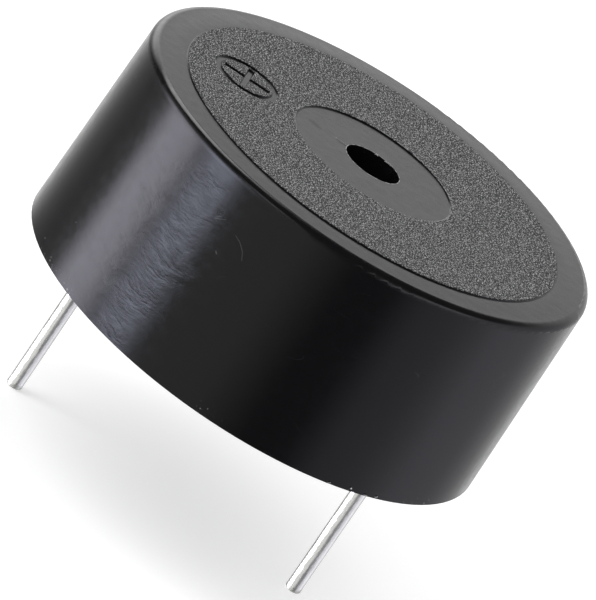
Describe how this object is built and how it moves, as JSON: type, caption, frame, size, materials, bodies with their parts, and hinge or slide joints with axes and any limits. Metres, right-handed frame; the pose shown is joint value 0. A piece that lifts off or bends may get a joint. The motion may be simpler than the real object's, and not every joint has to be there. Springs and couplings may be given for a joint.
{
  "type": "piezo buzzer",
  "caption": "Round sealed sounder with a centre sound hole, a raised textured band with a polarity mark, and straight wire pins for soldering into a board.",
  "frame": {"origin": "centre of the seating rim, on the plane where the housing stands on a circuit board", "axes": "+Z out of the sound hole, away from the board; -X from the centre to the positive pin"},
  "size_m": [0.024, 0.024, 0.0193],
  "materials": {
    "housing": "satin moulded black, spark-eroded grain on the raised band",
    "back_seal": "poured black epoxy",
    "pins": "tinned wire",
    "diaphragm_plate": "rolled sheet",
    "piezo_disc": "fired piezo ceramic, as dense as steel",
    "electrode": "fired silver",
    "silicone_bead": "soft translucent white silicone",
    "solder": "solder",
    "plate_wire": "black insulated wire",
    "main_wire": "red insulated wire",
    "feedback_wire": "blue insulated wire",
    "circuit_board": "bare paper laminate",
    "copper": "bare copper",
    "transistor_body": "moulded epoxy",
    "transistor_leads": "tinned leads",
    "resistor": "black glazed chip",
    "supply_capacitor": "tan ceramic chip",
    "coil_core": "sintered ferrite",
    "coil_wire": "enamelled copper wire"
  },
  "bodies": {
    "root": {"housing": "housing", "diaphragm_plate": "diaphragm_plate", "piezo_disc": "piezo_disc", "main_electrode": "electrode", "feedback_electrode": "electrode", "silicone_bead": "silicone_bead", "diaphragm_solder": "solder", "plate_wire": "plate_wire", "main_wire": "main_wire", "feedback_wire": "feedback_wire", "circuit_board": "circuit_board", "board_tracks": "copper", "transistor_body": "transistor_body", "transistor_leads": "transistor_leads", "bias_resistor": "resistor", "feedback_resistor": "resistor", "limit_resistor": "resistor", "supply_capacitor": "supply_capacitor", "coil_core": "coil_core", "coil_winding": "coil_wire", "coil_leads": "coil_wire", "component_solder": "solder", "wire_solder": "solder", "pin_solder": "solder", "positive_pin": "pins", "negative_pin": "pins", "back_seal": "back_seal"}
  },
  "joints": []
}
